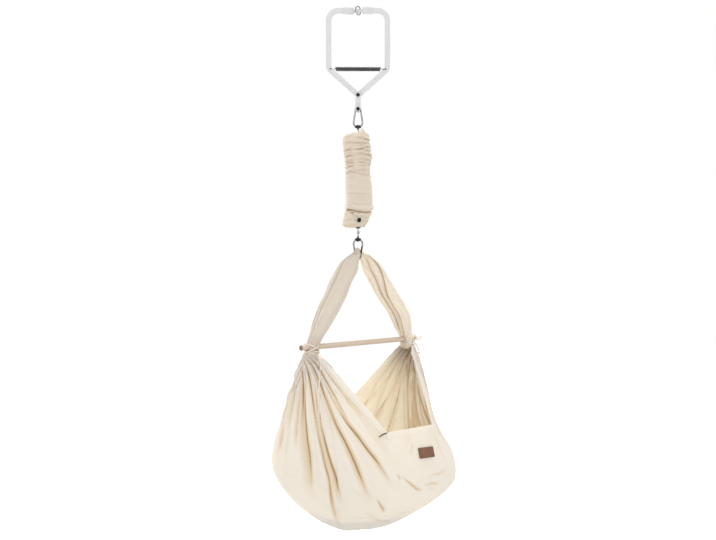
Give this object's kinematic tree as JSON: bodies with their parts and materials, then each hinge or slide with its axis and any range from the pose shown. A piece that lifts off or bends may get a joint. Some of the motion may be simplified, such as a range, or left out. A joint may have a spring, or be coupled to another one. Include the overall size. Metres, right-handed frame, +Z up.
{
  "type": "hanging baby cradle",
  "caption": "Spring cradle that hangs from a door frame: flat-steel clamp, link, snap hooks, sleeved spring, swivel, straps, wooden spreader bar and open cotton body.",
  "frame": {"origin": "middle of the clamp's top bar, where it sits on the door frame", "axes": "+Z up along the hanging line, the clamp faces -Y, the spreader bar lies 45 degrees from +X towards +Y"},
  "size_m": [0.6609, 0.661, 1.9351],
  "materials": {
    "white_paint": "satin powder coat",
    "grip_rubber": "matte",
    "bright_steel": "bright zinc plate",
    "black_steel": "black oxide",
    "cotton": "plain weave",
    "sleeve_cotton": "plain weave",
    "cotton_cord": "twisted cord",
    "beech": "oiled",
    "leather": "matte",
    "mattress_cover": "plain weave"
  },
  "bodies": {
    "clamp_left": {"clamp_arm_left": "white_paint", "grip_sleeve_left": "grip_rubber", "tip_keeper": "bright_steel", "clamp_spring": "black_steel", "pivot_bolt": "black_steel", "pivot_nut": "black_steel"},
    "clamp_right": {"clamp_arm_right": "white_paint", "grip_sleeve_right": "grip_rubber"},
    "link": {"link_plate_front": "white_paint", "link_plate_back": "white_paint", "link_bolt": "black_steel", "link_nut": "black_steel"},
    "upper_hook": {"upper_snap_hook_body": "bright_steel", "upper_snap_hook_gate_pin": "bright_steel"},
    "upper_gate": {"upper_snap_hook_gate": "bright_steel"},
    "spring": {"main_spring": "bright_steel", "safety_cord": "cotton_cord", "spring_sleeve": "sleeve_cotton"},
    "swivel_upper": {"swivel_upper_eye": "bright_steel"},
    "swivel_lower": {"swivel_lower_eye": "bright_steel"},
    "lower_hook": {"lower_snap_hook_body": "bright_steel", "lower_snap_hook_gate_pin": "bright_steel"},
    "lower_gate": {"lower_snap_hook_gate": "bright_steel"},
    "cradle": {"strap_left": "cotton", "strap_right": "cotton", "spreader_bar": "beech", "tie_left": "cotton_cord", "tie_right": "cotton_cord", "tie_tail_left": "cotton_cord", "tie_tail_right": "cotton_cord", "side_panel_near": "cotton", "side_panel_far": "cotton", "end_panel_left": "cotton", "end_panel_right": "cotton", "floor_panel": "cotton", "mattress": "mattress_cover", "leather_label": "leather"}
  },
  "joints": [
    {"name": "clamp_open", "type": "hinge", "parent": "clamp_left", "child": "clamp_right", "pos_m": [0, 0, -0.314], "axis": [0, 1, 0], "range_deg": [0, 36], "stiffness_Nm_per_rad": 2, "springref_deg": -28.65, "deforming": ["clamp_spring"]},
    {"name": "link_swing", "type": "hinge", "parent": "clamp_left", "child": "link", "pos_m": [0, 0, -0.314], "axis": [0, 1, 0], "range_deg": [-30, 30]},
    {"name": "upper_hook_swing", "type": "hinge", "parent": "link", "child": "upper_hook", "pos_m": [0, 0, -0.366], "axis": [0, 1, 0], "range_deg": [-25, 25]},
    {"name": "upper_gate_open", "type": "hinge", "parent": "upper_hook", "child": "upper_gate", "pos_m": [0.0099, 0, -0.3721], "axis": [0, 1, 0], "range_deg": [0, 25], "stiffness_Nm_per_rad": 0.03, "springref_deg": -20.05},
    {"name": "spring_swing", "type": "hinge", "parent": "upper_hook", "child": "spring", "pos_m": [0, 0, -0.4312], "axis": [1, 0, 0], "range_deg": [-25, 25]},
    {"name": "spring_stretch", "type": "slide", "parent": "spring", "child": "swivel_upper", "axis": [0, 0, -1], "range_m": [0, 0.2], "stiffness_N_per_m": 400, "springref_m": -0.07, "deforming": ["main_spring", "safety_cord", "spring_sleeve"]},
    {"name": "swivel_turn", "type": "hinge", "parent": "swivel_upper", "child": "swivel_lower", "pos_m": [0, 0, -0.82], "axis": [0, 0, 1], "continuous": true},
    {"name": "lower_hook_swing", "type": "hinge", "parent": "swivel_lower", "child": "lower_hook", "pos_m": [0, 0, -0.8536], "axis": [0, 1, 0], "range_deg": [-25, 25]},
    {"name": "lower_gate_open", "type": "hinge", "parent": "lower_hook", "child": "lower_gate", "pos_m": [0.0099, 0, -0.9059], "axis": [0, -1, 0], "range_deg": [0, 25], "stiffness_Nm_per_rad": 0.03, "springref_deg": -20.05},
    {"name": "cradle_swing", "type": "hinge", "parent": "lower_hook", "child": "cradle", "pos_m": [0, 0, -0.9198], "axis": [1, 0, 0], "range_deg": [-25, 25]}
  ]
}
